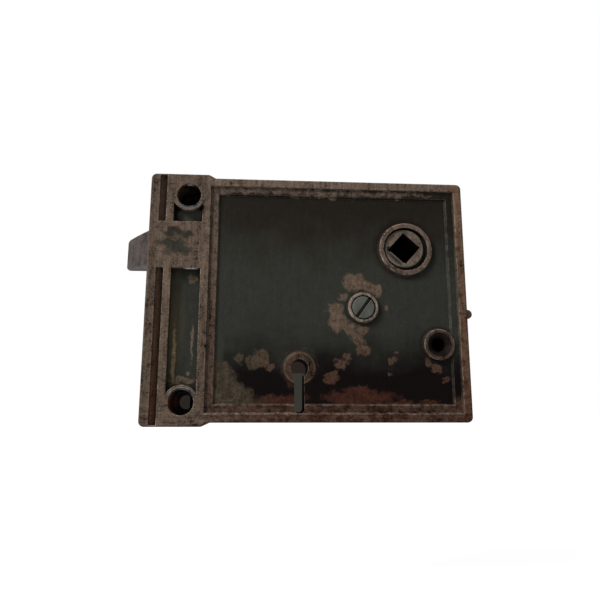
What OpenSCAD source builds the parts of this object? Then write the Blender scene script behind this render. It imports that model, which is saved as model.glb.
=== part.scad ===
// Rim knob lock: a cast-iron box lock that is screwed to the inner face of a door.
// X runs from the bolt end to the heel end, Z is up and the moulded face looks to -Y.
// The origin lies on the door face, in the middle of the case.

/* [Case] */
// Length of the case, bolt end to heel end
case_l = 114.3; // [110:0.1:130]
// Height of the body of the case
case_h = 87.2; // [79:0.1:100]
// Thickness of the case, door face to rim
case_t = 16; // [15.5:0.1:20]
// Thickness of the side walls
wall = 3; // [2.4:0.1:3.6]
// Thickness of the face under its sunk field
field_t = 2.3; // [1.8:0.1:2.6]
// Radius of the corners of the case
corner_r = 1.9; // [1.2:0.1:3]
// Rounding of the outer edge of the face
edge_r = 0.7; // [0.3:0.1:1.1]
// Diameter of the nib that the casting gate left on the heel end
nib_d = 3.4; // [2:0.1:4]
// How far the nib stands out of the heel end
nib_l = 2.7; // [1.8:0.1:4]
// Height of the nib above the bottom of the body
nib_rise = 38.4; // [20:0.1:60]

/* [Moulding] */
// Width of the raised rim round the face
rim_w = 2.9; // [2:0.1:4]
// Step from the rim down to the band
rim_step = 1; // [0.6:0.1:1.2]
// Width of the band inside the rim
band_w = 2.9; // [2:0.1:4]
// Step from the band down to the field
band_step = 0.8; // [0.4:0.1:1]
// Width taken by the sloping wall of each step
step_draft = 0.5; // [0.2:0.1:0.8]
// Rounding of the raised rings
ring_edge = 0.4; // [0.2:0.1:0.6]

/* [Front strip] */
// Width of the raised strip along the bolt end
strip_w = 21.5; // [20.5:0.1:25]
// How far the strip stands past the body at each end
strip_lap = 1.35; // [0.6:0.05:2]
// Length of the curve from the end of the strip down to the body
ogee_l = 3.4; // [2:0.1:5]
// How far that curve runs past the strip
ogee_past = 2.2; // [1:0.1:3]
// From the bolt end to the narrow groove
groove_in = 3.3; // [2:0.1:4.5]
// Width of the narrow groove
groove_w = 2.6; // [1.5:0.1:3.5]
// Depth of the narrow groove
groove_d = 1.5; // [0.8:0.1:2]
// Lip left at each end of the narrow groove
groove_end = 0.6; // [0.3:0.1:1.5]
// From the bolt end to the wide pocket
pocket_in = 8.5; // [7.5:0.1:9.5]
// Width of the wide pocket
pocket_w = 10.3; // [9:0.1:11]
// Depth of the wide pocket
pocket_d = 3.6; // [2:0.1:4]
// Thickness of the pocket's floor
pocket_floor_t = 1.8; // [1.2:0.1:2.2]
// Iron round the back of the pocket
pocket_wall = 1.2; // [0.8:0.1:1.4]
// Bridge left between the latch and the lower pocket
bridge_under = 1.6; // [1.5:0.1:3]
// Bridge left between the latch and the upper pocket
bridge_over = 2.6; // [1.5:0.1:4]

/* [Fixing holes] */
// From the bolt end to the two fixing holes of the strip
fix_in = 13.8; // [13:0.1:14.5]
// From the top and bottom of the body to the fixing holes
fix_end = 6.7; // [6:0.1:8]
// From the heel end to the heel fixing hole
heel_in = 10.7; // [9:0.1:12]
// Height of the heel fixing hole above the bottom of the body
heel_rise = 27; // [22:0.1:30]
// Diameter of the cups in the strip, which take the heads of fixing screws
cup_d = 8.7; // [7:0.1:9.5]
// Depth of the straight cups in the strip
cup_deep = 11.5; // [8:0.1:12]
// Diameter of the mouth of the countersink at the heel
sink_d = 8; // [7:0.1:9]
// Depth of that countersink
sink_deep = 1.5; // [1:0.1:3]
// Diameter of the hole for the shank of a fixing screw
shank_d = 5; // [4:0.1:6]
// Width of the rim round a cup
cup_rim = 1.5; // [1:0.1:2]
// Width of the rim round the countersink
sink_rim = 1.5; // [1:0.1:1.8]

/* [Spindle hub] */
// Side of the square hole that takes the knob spindle
spindle_sq = 8.15; // [6:0.05:9]
// Turn of the square from standing on its corner, at rest
square_turn = 3; // [0:0.5:10]
// From the heel end to the spindle
spindle_in = 22; // [20:0.1:26]
// From the top of the body down to the spindle
spindle_drop = 25; // [24:0.1:26]
// Wall of the hub at the corners of the square
hub_wall = 1.34; // [1:0.02:2]
// How far the hub lies below the ring round its mouth
hub_sunk = 0.9; // [0.3:0.1:1.5]
// Gap round the hub in its worn mouth
mouth_gap = 1; // [0.6:0.1:1.5]
// How far the worn mouth lies towards the heel from the hub
mouth_off_x = 0.35; // [0:0.05:0.5]
// How far the worn mouth lies below the hub
mouth_off_z = 0.4; // [0:0.05:0.5]
// Depth of the worn mouth
mouth_deep = 2.2; // [1.2:0.1:2.6]
// Width of the ring round the mouth
ring_w = 1.6; // [1:0.1:2.5]
// Width of the keyway at one corner of the square
keyway_w = 1.9; // [1:0.1:2.5]
// Depth of the keyway
keyway_deep = 1.4; // [0.6:0.1:2.5]
// Width of the worn edge along one side of the square
worn_edge = 0.9; // [0.4:0.1:1.2]
// Length of that worn edge
worn_l = 7; // [4:0.1:7.6]
// Chamfer of the hub's front edge
hub_edge = 0.35; // [0.1:0.05:0.6]
// How far the collar behind the face stands out of the hub
collar_w = 1.5; // [1:0.1:2]
// Step from the hub down to its rear journal
tail_step = 0.5; // [0.3:0.1:1]
// Thickness of the two horns
horn_t = 4; // [3:0.1:4.5]
// Width of a horn at its tip
horn_tip_w = 2; // [1.5:0.1:2.5]

/* [Keyhole] */
// From the bolt end to the key
key_in = 54; // [53:0.1:55]
// Height of the key above the bottom of the body
key_rise = 18.5; // [18:0.1:19]
// Diameter of the hole for the pin of the key
key_pin_d = 6.2; // [5:0.1:7]
// Width of the slot for the bit of the key
key_slot_w = 3.5; // [2.5:0.1:4]
// From the key's middle to the foot of the slot
key_reach = 15.3; // [14.5:0.1:15.4]
// Rounding at the foot of the slot
key_foot_r = 1.2; // [0.4:0.1:1.2]
// Width of the ring round the keyhole
key_ring_w = 2.6; // [1.5:0.1:3.5]
// Height of that ring above the field
key_ring_h = 0.9; // [0.5:0.1:1.6]
// Radius of the ring ward inside the face
ward_r = 7.6; // [6.5:0.1:8.5]
// Thickness of the ward
ward_t = 1.2; // [0.8:0.1:1.6]
// Height of the ward
ward_h = 1.3; // [0.8:0.1:1.5]
// Diameter of the two tenons that hold the ward
tenon_d = 1; // [0.6:0.1:1.1]
// Length of those tenons
tenon_l = 1.2; // [0.8:0.1:1.5]

/* [Cap] */
// Thickness of the cap that closes the back
cap_t = 2.2; // [1.6:0.1:2.6]
// Width of the ledge that the cap sits on
cap_ledge = 1.3; // [0.8:0.1:1.6]
// Gap round the edge of the cap
cap_clear = 0.15; // [0.05:0.05:0.3]
// From the key to the cap screw
screw_past_key = 22.65; // [22.3:0.05:24]
// From the top of the body down to the cap screw
screw_drop = 47.2; // [46:0.1:50]
// Diameter of the cap screw
screw_d = 4.8; // [4:0.1:5.5]
// Diameter of its head
screw_head_d = 8.2; // [7.5:0.1:9.5]
// Height of its head
screw_head_h = 2.2; // [1.6:0.1:3]
// Chamfer of its head
screw_head_edge = 0.35; // [0.1:0.05:0.6]
// Width of the slot in its head
screw_slot_w = 1.2; // [0.8:0.1:1.6]
// Depth of the slot in its head
screw_slot_deep = 1.1; // [0.6:0.1:1.3]
// Direction of the slot, from level
screw_slot_turn = 54; // [0:1:90]
// Gap round the screw head
head_gap = 0.35; // [0.2:0.05:0.5]
// Width of the ring round the screw head
screw_ring_w = 0.95; // [0.6:0.05:1.2]

/* [Latch] */
// Height of the latch head
latch_h = 12.8; // [10:0.1:13.2]
// How far the latch stands out of the case
latch_out = 9.8; // [8:0.1:11]
// Length of the latch head inside the case
latch_in = 15; // [12:0.1:16]
// How far the latch lies below the spindle
latch_drop = 0.8; // [0:0.1:1.5]
// Iron left over the latch in the bridge
latch_cover = 2.7; // [2.4:0.1:3.2]
// Length of the thick end of the latch inside the case
head_l = 10; // [8:0.1:10.4]
// Thickness left at the nose of the bevel
nose_t = 1.6; // [1:0.1:2.5]
// How far the top of the latch falls to the nose
nose_drop = 1.5; // [0.5:0.1:2.5]
// Rounding of the nose at its top
nose_top_r = 1.4; // [0.6:0.1:2.5]
// Rounding of the nose at its foot
nose_low_r = 0.9; // [0.8:0.1:2.5]
// Chamfer of the nose towards the door
nose_edge = 0.5; // [0.2:0.1:1]
// Swell of the bevel
bevel_bow = 0.2; // [0:0.1:0.8]
// How far the shoulder stands past the latch above and below
shoulder = 1.3; // [0.8:0.1:1.6]
// Length of the shoulder
shoulder_l = 2.6; // [2:0.1:4]
// Diameter of the rod behind the latch head
rod_d = 5; // [4:0.1:5.4]
// Depth of the socket for the rod in the latch head
socket_l = 7; // [5:0.1:9]
// Diameter of the cross pin
cross_pin_d = 2.5; // [2:0.1:3]
// Length of the latch spring at rest
spring_l = 26; // [22:0.1:27]
// Diameter of its wire
spring_wire = 1; // [0.8:0.1:1.1]
// Turns of the spring
spring_turns = 9; // [6:1:10]
// Gap between the spring and the rod
spring_gap = 0.6; // [0.4:0.1:0.7]
// Thickness of the washer behind the spring
washer_t = 1; // [0.6:0.1:1.5]
// Thickness of the stop that the washer bears on
stop_t = 4; // [3:0.1:5]
// How far the stop stands past the spring, above and below
stop_past = 3; // [2:0.1:3.4]
// Thickness of the yoke
yoke_t = 2.4; // [1.8:0.1:2.8]
// Width of the yoke's crossbar
fork_w = 4.6; // [3.5:0.1:5]
// Width of the arms of the yoke
arm_w = 6; // [5:0.1:6.4]
// How far the yoke's stem stands past the rod, above and below
stem_past = 1; // [0.5:0.1:1.5]
// Length of the lugs that the horns push
lug_l = 3.5; // [2.5:0.1:4]
// Width of those lugs
lug_w = 4; // [3:0.1:4.4]
// Length of the lap between the rod and the yoke
lap_l = 12; // [10:0.1:13]
// Diameter of the rivets in that lap
rivet_d = 2.6; // [2:0.1:3]
// Distance between those rivets
rivet_pitch = 5.4; // [4.5:0.1:6]

/* [Dead bolt] */
// Height of the dead bolt
bolt_h = 12; // [11.5:0.1:12.3]
// Lower edge of the dead bolt above the key
bolt_over_key = 10.5; // [10.3:0.1:10.8]
// Throw of the dead bolt
bolt_throw = 10; // [8:0.1:10.5]
// Length of the thick head
bolt_head_l = 23; // [20:0.1:23.5]
// How far the head lies inside the bolt end when withdrawn
bolt_sunk = 0.4; // [0.2:0.1:1]
// From the front of the talon to the key
talon_lead = 1.6; // [1.2:0.1:2]
// Width of the talon that the key throws
talon_w = 13; // [12:0.1:13.4]
// Depth of the talon
talon_deep = 5.2; // [4.5:0.1:5.4]
// Length of the tail behind the talon
tail_l = 4.4; // [3:0.1:4.6]
// From the bolt end to the guide stud
stud_in = 34.2; // [33.5:0.1:35]
// Diameter of the guide stud
stud_d = 4; // [3:0.1:4.4]
// Width of the seat round the guide stud
stud_seat_w = 2; // [1:0.1:2.4]

/* [Tumbler] */
// Thickness of the tumbler
tumbler_t = 2.2; // [1.6:0.1:2.6]
// From the key back to the stud that the tumbler turns on
pivot_before_key = 24; // [23.5:0.1:24.5]
// Diameter of that stud
pivot_d = 4; // [3:0.1:4.5]
// Width of the seat round that stud
seat_w = 1.2; // [0.8:0.1:1.6]
// Radius of the tumbler's eye
eye_r = 3.8; // [3.4:0.1:4.4]
// From the tumbler's stud to the foot of its neck
neck_l = 10; // [9:0.1:12]
// How far the top edge past the neck lies below the stud
neck_drop = 1.8; // [1.2:0.1:2.2]
// How far the top edge lies below the stud at the tumbler's end
end_drop = 4.2; // [3:0.1:5]
// Belly of the tumbler above the key
belly_over_key = 11.3; // [10.9:0.1:12]
// From the tumbler's stud to the start of its belly
belly_start = 6; // [5:0.1:8]
// Length of the tumbler from its stud to its end
tumbler_l = 34; // [32:0.1:35]
// From the tumbler's stud to the stump
stump_reach = 20; // [19:0.1:21]
// Diameter of the stump
stump_d = 3; // [2.4:0.1:3.4]
// Depth of the notches for the stump
notch_deep = 3.1; // [2.8:0.1:3.3]
// Rise of the ramp between the notches, for each millimetre
ramp_slope = 0.29; // [0.26:0.01:0.3]
// Thickness of the flat spring
leaf_t = 0.7; // [0.4:0.1:0.9]
// Radius of its bend
leaf_bend = 4; // [3:0.1:4.4]
// Depth of the slit that holds the flat spring
slit_deep = 1.8; // [1.2:0.1:2.2]

/* [Clearances] */
// Radial clearance of a turning or fitted pin
run_clear = 0.05; // [0.02:0.01:0.08]
// Clearance of a sliding piece in its window
slide_clear = 0.25; // [0.15:0.05:0.35]
// Gap between moving pieces that pass each other
pass_clear = 0.4; // [0.3:0.05:0.5]
// Gap between the moving pieces and the cap
cap_gap = 0.5; // [0.3:0.05:0.6]
// Gap between a horn and its lug
lug_gap = 0.15; // [0.1:0.05:0.3]

/* [Hidden] */
$fn = 64;
cut = 1;

// Levels from the face to the door
front_x = -case_l / 2;
heel_x = case_l / 2;
top_z = case_h / 2;
face_y = -case_t;
band_y = face_y + rim_step;
field_y = band_y + band_step;
inner_y = field_y + field_t;
pocket_y = face_y + pocket_d + pocket_floor_t;
cap_y = -cap_t;
back_y = cap_y - cap_gap;
mid_y = (inner_y + cap_y) / 2;

// Places on the face, as [x, z]
spindle = [heel_x - spindle_in, top_z - spindle_drop];
key = [front_x + key_in, -top_z + key_rise];
cap_screw_at = [key[0] + screw_past_key, top_z - screw_drop];
heel_at = [heel_x - heel_in, -top_z + heel_rise];
fix_at = [for (side = [-1, 1]) [front_x + fix_in, side * (top_z - fix_end)]];
cup_rim_d = cup_d + 2 * cup_rim;
ogee_x = front_x + strip_w + ogee_past - ogee_l;
sink_rim_d = sink_d + 2 * sink_rim;
ward_pins = [for (side = [-1, 1]) key + ward_r * [side, 1] / sqrt(2)];
screw_ring_d = screw_head_d + 2 * head_gap + 2 * screw_ring_w;

// Hub: journals, worn mouth and horns
hub_d = spindle_sq * sqrt(2) + 2 * hub_wall;
tail_d = hub_d - 2 * tail_step;
mouth_d = hub_d + 2 * mouth_gap;
mouth_at = spindle + [mouth_off_x, -mouth_off_z];
ring_d = mouth_d + 2 * ring_w;
collar_d = hub_d + 2 * collar_w;
yoke_y = back_y - yoke_t;
horn_y = yoke_y - pass_clear;
arm_in = hub_d / 2 + pass_clear;
lever_r = arm_in + arm_w / 2;

// Latch: head, rod, spring and yoke
latch_z = spindle[1] - latch_drop;
latch_y = inner_y + cap_gap;
head_y = face_y + latch_cover;
latch_low = latch_z - latch_h / 2;
latch_high = latch_z + latch_h / 2;
latch_end = front_x + latch_in;
bridge_low = latch_low - bridge_under;
bridge_high = latch_high + bridge_over;
spring_r = rod_d / 2 + spring_gap + spring_wire / 2;
spring_end = latch_end + spring_l;
stop_x = spring_end + washer_t;
stop_h = 2 * (spring_r + spring_wire / 2 + stop_past);
hub_turn = latch_out / lever_r * 180 / PI;
fork_x = spindle[0] - hub_d / 2 - pass_clear - latch_out;
horn_step = 4;
horn_r = norm(flank(hub_turn + horn_step));
rod_end = spindle[0] - horn_r - pass_clear - latch_out - lap_l;
rivet_x = [for (side = [-1, 1]) rod_end + (lap_l + side * rivet_pitch) / 2];

// Dead bolt and tumbler
bolt_z = key[1] + bolt_over_key;
bolt_top = bolt_z + bolt_h;
bolt_y = pocket_y + pass_clear;
tumbler_y = back_y - tumbler_t;
bar_y = tumbler_y - pass_clear;
stud_at = [front_x + stud_in, bolt_z + bolt_h / 2];
talon_x = key[0] - talon_lead;
seat_r = pivot_d / 2 + seat_w;
pivot = [key[0] - pivot_before_key, bolt_top + pass_clear + seat_r];
stump_at = [pivot[0] + stump_reach, bolt_top - notch_deep + stump_d / 2 + slide_clear];
notch_r = stump_d / 2 + slide_clear;
leaf_foot = pivot[1] - neck_drop - slit_deep + run_clear;
leaf_head = latch_z - stop_h / 2 - 2 * run_clear;
leaf_x = stop_x + stop_t / 2 - leaf_bend + leaf_t / 2;

iron = "#3b3632";
steel = "#77756f";

module along_y(y0, y1)
    translate([0, y1, 0])
        rotate([90, 0, 0])
            linear_extrude(y1 - y0)
                children();

module block(x0, x1, y0, y1, z0, z1)
    translate([x0, y0, z0])
        cube([x1 - x0, y1 - y0, z1 - z0]);

module rod_y(at, d, y0, y1)
    translate([at[0], y1, at[1]])
        rotate([90, 0, 0])
            cylinder(d = d, h = y1 - y0);

module rod_x(y, z, d, x0, x1)
    translate([x0, y, z])
        rotate([0, 90, 0])
            cylinder(d = d, h = x1 - x0);

// A round block with a softened front edge, the corner of a cast box
module soft_post(x, z)
    translate([x, 0, z])
        rotate([90, 0, 0])
            rotate_extrude($fn = 32)
                polygon(concat(
                    [[0, case_t], [0, 0], [corner_r, 0]],
                    [for (a = [0 : 18 : 90])
                        [corner_r - edge_r * (1 - cos(a)), case_t - edge_r * (1 - sin(a))]]));

module soft_box(x0, x1, z0, z1)
    hull()
        for (x = [x0 + corner_r, x1 - corner_r], z = [z0 + corner_r, z1 - corner_r])
            soft_post(x, z);

// A panel sunk from one level of the face to the next, with sloping walls
module sunk_panel(x0, x1, z0, z1, y0, y1) {
    grow = step_draft * (y1 - y0 + cut) / (y1 - y0);
    w = x1 - x0 - 2 * step_draft;
    h = z1 - z0 - 2 * step_draft;
    translate([(x0 + x1) / 2, y1, (z0 + z1) / 2])
        rotate([90, 0, 0])
            linear_extrude(y1 - y0 + cut, scale = [1 + 2 * grow / w, 1 + 2 * grow / h], slices = 1, $fn = 4)
                square([w, h], center = true);
}

// A raised boss on the field, wider at its foot and rounded at its lip
module face_ring(at, d, y0)
    translate([at[0], field_y + cut, at[1]])
        rotate([90, 0, 0])
            rotate_extrude()
                polygon(concat(
                    [[0, field_y + cut - y0], [0, 0], [d / 2 + step_draft, 0], [d / 2 + step_draft, cut]],
                    [for (a = [0 : 30 : 90])
                        [d / 2 - ring_edge * (1 - cos(a)), field_y + cut - y0 - ring_edge * (1 - sin(a))]]));

// A round head or hub whose front edge is chamfered
module edged_rod(at, d, edge, y0, y1) {
    rod_y(at, d, y0 + edge, y1);
    translate([at[0], y0 + edge, at[1]])
        rotate([90, 0, 0])
            cylinder(d1 = d, d2 = d - 2 * edge, h = edge);
}

module keyhole(y0, y1)
    along_y(y0, y1)
        translate(key) {
            circle(d = key_pin_d);
            hull() {
                translate([-key_slot_w / 2, -key_reach / 2]) square([key_slot_w, key_reach / 2]);
                for (side = [-1, 1])
                    translate([side * (key_slot_w / 2 - key_foot_r), key_foot_r - key_reach])
                        circle(key_foot_r);
            }
        }

module ogee(side)
    along_y(face_y + edge_r, 0)
        polygon(concat(
            [[ogee_x - corner_r, side * (top_z - edge_r)]],
            [for (t = [0 : 0.1 : 1]) [ogee_x + ogee_l * t, side * (top_z + strip_lap * (1 + cos(180 * t)) / 2)]],
            [[ogee_x + ogee_l, side * (top_z - edge_r)]]));

module nib()
    translate([heel_x - wall / 2, face_y + nib_d, -top_z + nib_rise])
        rotate([0, 90, 0])
            rotate_extrude()
                polygon(concat(
                    [[0, 0], [nib_d / 2, 0]],
                    [for (a = [0 : 15 : 90])
                        [nib_d / 2 * cos(a), wall / 2 + nib_l - nib_d / 2 * (1 - sin(a))]]));

module case_box()
    difference() {
        union() {
            soft_box(front_x, heel_x, -top_z, top_z);
            soft_box(front_x, ogee_x + corner_r, -top_z - strip_lap, top_z + strip_lap);
            for (side = [-1, 1]) ogee(side);
            nib();
        }
        sunk_panel(front_x + strip_w, heel_x - rim_w, -top_z + rim_w, top_z - rim_w, face_y, band_y);
        sunk_panel(front_x + strip_w + band_w, heel_x - rim_w - band_w,
            -top_z + rim_w + band_w, top_z - rim_w - band_w, band_y, field_y);
        block(front_x + wall, heel_x - wall, inner_y, cut, -top_z + wall, top_z - wall);
        block(front_x + wall - cap_ledge, heel_x - wall + cap_ledge, cap_y, cut,
            -top_z + wall - cap_ledge, top_z - wall + cap_ledge);
    }

module pocket_backs() {
    x0 = front_x + pocket_in - pocket_wall;
    x1 = front_x + pocket_in + pocket_w + pocket_wall;
    block(x0, x1, inner_y - field_t, pocket_y, fix_at[0][1], bridge_low + pocket_wall);
    block(x0, x1, inner_y - field_t, pocket_y, bridge_high - pocket_wall, fix_at[1][1]);
}

module pockets() {
    x0 = front_x + pocket_in;
    difference() {
        union() {
            block(x0, x0 + pocket_w, face_y - cut, face_y + pocket_d, fix_at[0][1], bridge_low);
            block(x0, x0 + pocket_w, face_y - cut, face_y + pocket_d, bridge_high, fix_at[1][1]);
        }
        for (at = fix_at) rod_y(at, cup_rim_d, face_y - 2 * cut, face_y + pocket_d + cut);
    }
}

module grooves() {
    x0 = front_x + groove_in;
    block(x0, x0 + groove_w, face_y - cut, face_y + groove_d, -top_z - strip_lap + groove_end, bridge_low);
    block(x0, x0 + groove_w, face_y - cut, face_y + groove_d, bridge_high, top_z + strip_lap - groove_end);
}

// The stop carries the spring, and its open slot takes the rod from the back
module spring_stop()
    difference() {
        block(stop_x, stop_x + stop_t, inner_y - cut, back_y, latch_z - stop_h / 2, latch_z + stop_h / 2);
        rod_x(mid_y, latch_z, rod_d + 2 * slide_clear, stop_x - cut, stop_x + stop_t + cut);
        block(stop_x - cut, stop_x + stop_t + cut, mid_y, 0,
            latch_z - rod_d / 2 - slide_clear, latch_z + rod_d / 2 + slide_clear);
    }

module case_posts() {
    for (at = fix_at) rod_y(at, cup_rim_d, face_y + pocket_d, cap_y);
    rod_y(heel_at, sink_rim_d, inner_y - cut, cap_y);
    rod_y(cap_screw_at, screw_ring_d, inner_y - cut, cap_y);
    rod_y(stud_at, stud_d + 2 * stud_seat_w, inner_y - cut, bolt_y - pass_clear);
    rod_y(pivot, 2 * seat_r, inner_y - cut, tumbler_y - run_clear);
    spring_stop();
}

module case()
    color(iron)
        difference() {
            union() {
                case_box();
                pocket_backs();
                case_posts();
                face_ring(mouth_at, ring_d, face_y);
                face_ring(heel_at, sink_rim_d, face_y);
                face_ring(cap_screw_at, screw_ring_d, face_y);
                face_ring(key, key_pin_d + 2 * key_ring_w, field_y - key_ring_h);
            }
            grooves();
            pockets();
            keyhole(face_y - cut, inner_y + cut);
            for (at = ward_pins) rod_y(at, tenon_d + 2 * run_clear, inner_y - tenon_l - run_clear, inner_y + cut);
            for (at = fix_at) rod_y(at, cup_d, face_y - cut, face_y + cup_deep);
            translate([heel_at[0], face_y + sink_deep, heel_at[1]])
                rotate([90, 0, 0])
                    cylinder(d1 = shank_d, d2 = sink_d, h = sink_deep);
            for (at = concat(fix_at, [heel_at])) rod_y(at, shank_d, face_y - cut, cap_y + cut);
            rod_y(cap_screw_at, screw_head_d + 2 * head_gap, face_y - cut, face_y + screw_head_h);
            rod_y(cap_screw_at, screw_d + 2 * run_clear, face_y, cap_y + cut);
            rod_y(mouth_at, mouth_d, face_y - cut, face_y + mouth_deep);
            rod_y(spindle, hub_d + 2 * run_clear, face_y, inner_y + cut);
            rod_y(stud_at, stud_d + 2 * run_clear, inner_y - field_t / 2, cap_y);
            rod_y(pivot, pivot_d + 2 * run_clear, inner_y - field_t / 2, cap_y);
            block(front_x - cut, front_x + wall + cut, head_y - slide_clear, cap_y,
                latch_low - slide_clear, latch_high + slide_clear);
            block(front_x, front_x + head_l + latch_out + pass_clear, head_y - slide_clear, inner_y + cut,
                latch_low - slide_clear, latch_high + slide_clear);
            block(front_x - cut, front_x + wall + cut, bolt_y - slide_clear, cap_y,
                bolt_z - slide_clear, bolt_top + slide_clear);
        }

// The ward: a ring round the keyhole, open where the bit of the key goes in
module ward()
    color(steel)
        difference() {
            union() {
                rod_y(key, 2 * ward_r + ward_t, inner_y, inner_y + ward_h);
                for (at = ward_pins) rod_y(at, tenon_d, inner_y - tenon_l, inner_y + ward_h / 2);
            }
            rod_y(key, 2 * ward_r - ward_t, face_y, 0);
            keyhole(face_y, 0);
        }

module cap()
    color(iron)
        difference() {
            in = wall - cap_ledge + cap_clear;
            block(front_x + in, heel_x - in, cap_y, 0, -top_z + in, top_z - in);
            for (at = concat(fix_at, [heel_at])) rod_y(at, shank_d + 2 * slide_clear, cap_y - cut, cut);
            rod_y(cap_screw_at, screw_d + 2 * run_clear, cap_y - cut, cut);
            rod_y(spindle, tail_d + 2 * run_clear, cap_y - cut, cut);
            keyhole(cap_y - cut, cut);
        }

module cap_screw()
    color(steel)
        difference() {
            union() {
                edged_rod(cap_screw_at, screw_head_d, screw_head_edge, face_y, face_y + screw_head_h);
                rod_y(cap_screw_at, screw_d, face_y + screw_head_h / 2, -cap_gap);
            }
            translate([cap_screw_at[0], face_y, cap_screw_at[1]])
                rotate([0, -screw_slot_turn, 0])
                    cube([2 * screw_head_d, 2 * screw_slot_deep, screw_slot_w], center = true);
        }

// Plan of the latch head: a bevel, a little swollen, that looks away from the door
module latch_plan()
    polygon(concat(
        [[latch_end, back_y], [front_x - latch_out + nose_edge, back_y],
         [front_x - latch_out, back_y - nose_edge]],
        [for (t = [0 : 0.125 : 1])
            [front_x - latch_out * (1 - t) - bevel_bow * sin(180 * t),
             back_y - nose_t + (head_y - back_y + nose_t) * t - bevel_bow * sin(180 * t)]],
        [[front_x + head_l, head_y], [front_x + head_l, latch_y], [latch_end, latch_y]]));

module latch_side()
    polygon(concat(
        [[latch_end, latch_low], [latch_end, latch_high], [front_x, latch_high]],
        [for (a = [90 : 15 : 180])
            [front_x - latch_out + nose_top_r * (1 + cos(a)), latch_high - nose_drop - nose_top_r * (1 - sin(a))]],
        [for (a = [180 : 15 : 270])
            [front_x - latch_out + nose_low_r * (1 + cos(a)), latch_low + nose_low_r * (1 + sin(a))]]));

module latch_bolt()
    color(steel)
        difference() {
            union() {
                intersection() {
                    translate([0, 0, latch_low])
                        linear_extrude(latch_h)
                            latch_plan();
                    along_y(head_y - cut, back_y + cut)
                        latch_side();
                }
                block(front_x + wall + slide_clear, front_x + wall + slide_clear + shoulder_l,
                    pocket_y + pass_clear, back_y, latch_low - shoulder, latch_high + shoulder);
            }
            rod_x(mid_y, latch_z, rod_d + 2 * run_clear, latch_end - socket_l, latch_end + cut);
            rod_y([latch_end - socket_l / 2, latch_z], cross_pin_d + 2 * run_clear, face_y, 0);
        }

module latch_rod()
    color(steel)
        difference() {
            union() {
                rod_x(mid_y, latch_z, rod_d, latch_end - socket_l + run_clear, rod_end);
                block(rod_end - cut, rod_end + lap_l, mid_y, yoke_y, latch_z - rod_d / 2, latch_z + rod_d / 2);
            }
            rod_y([latch_end - socket_l / 2, latch_z], cross_pin_d + 2 * run_clear, face_y, 0);
            for (x = rivet_x) rod_y([x, latch_z], rivet_d + 2 * run_clear, face_y, 0);
        }

module latch_pin()
    color(steel)
        rod_y([latch_end - socket_l / 2, latch_z], cross_pin_d, latch_y + run_clear, back_y - run_clear);

// Wire swept along a helix about the rod: rings of points, joined to one closed tube
wire_sides = 6;
rings_per_turn = 10;
spring_rings = spring_turns * rings_per_turn;
spring_run = spring_l - spring_wire - 2 * run_clear;
spring_pitch = spring_run / spring_turns;
function spring_point(i, a) =
    let (turn = 360 * i / rings_per_turn, r = spring_r + spring_wire / 2 * cos(a))
    [latch_end + run_clear + spring_wire / 2 + spring_run * i / spring_rings + spring_wire / 2 * sin(a),
     mid_y + r * cos(turn), latch_z + r * sin(turn)];
module tube(rings, sides, points)
    polyhedron(points, concat(
        [[for (s = [0 : sides - 1]) s]],
        [for (i = [0 : rings - 1], s = [0 : sides - 1])
            let (a = i * sides + s, b = i * sides + (s + 1) % sides) [a, a + sides, b]],
        [for (i = [0 : rings - 1], s = [0 : sides - 1])
            let (a = i * sides + s, b = i * sides + (s + 1) % sides) [b, a + sides, b + sides]],
        [[for (s = [sides - 1 : -1 : 0]) rings * sides + s]]));

module latch_spring() {
    echo(least_gap_between_turns = spring_pitch - spring_wire);
    color(steel)
        tube(spring_rings, wire_sides,
            [for (i = [0 : spring_rings], s = [0 : wire_sides - 1]) spring_point(i, 360 * s / wire_sides)]);
}

module spring_washer()
    color(steel)
        difference() {
            rod_x(mid_y, latch_z, 2 * spring_r + spring_wire, spring_end, stop_x);
            rod_x(mid_y, latch_z, rod_d + slide_clear, spring_end - cut, stop_x + cut);
        }

module latch_yoke()
    color(steel)
        difference() {
            union() {
                along_y(yoke_y, back_y) {
                    translate([rod_end + slide_clear, latch_z - rod_d / 2 - stem_past])
                        square([fork_x - rod_end - fork_w / 2, rod_d + 2 * stem_past]);
                    translate([fork_x - fork_w, spindle[1] - arm_in - arm_w])
                        square([fork_w, 2 * (arm_in + arm_w)]);
                    for (low = [arm_in, -arm_in - arm_w])
                        translate([fork_x - fork_w, spindle[1] + low])
                            square([spindle[0] + lug_gap + lug_l - fork_x + fork_w, arm_w]);
                }
                for (side = [-1, 1])
                    translate([spindle[0] + lug_gap, horn_y - horn_t + slide_clear, spindle[1] + side * lever_r])
                        translate([0, 0, -lug_w / 2])
                            cube([lug_l, yoke_y + cut - horn_y + horn_t - slide_clear, lug_w]);
            }
            for (x = rivet_x) rod_y([x, latch_z], rivet_d + 2 * run_clear, face_y, 0);
        }

module yoke_rivets()
    color(steel)
        for (x = rivet_x) rod_y([x, latch_z], rivet_d, mid_y, back_y);

// A horn's working side is the involute of a circle of radius lever_r, so that a flat lug
// moves in step with the turn of the hub
function flank(a) =
    let (t = a * PI / 180)
    lever_r * [t * cos(a) - sin(a), cos(a) + t * sin(a)];
module horn()
    polygon(concat(
        [[0, 0], [0, lever_r]],
        [for (a = [horn_step : horn_step : hub_turn + horn_step]) flank(a)],
        [flank(hub_turn + horn_step) - [horn_tip_w, 0], [-hub_d / 2, hub_d / 4]]));

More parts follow.
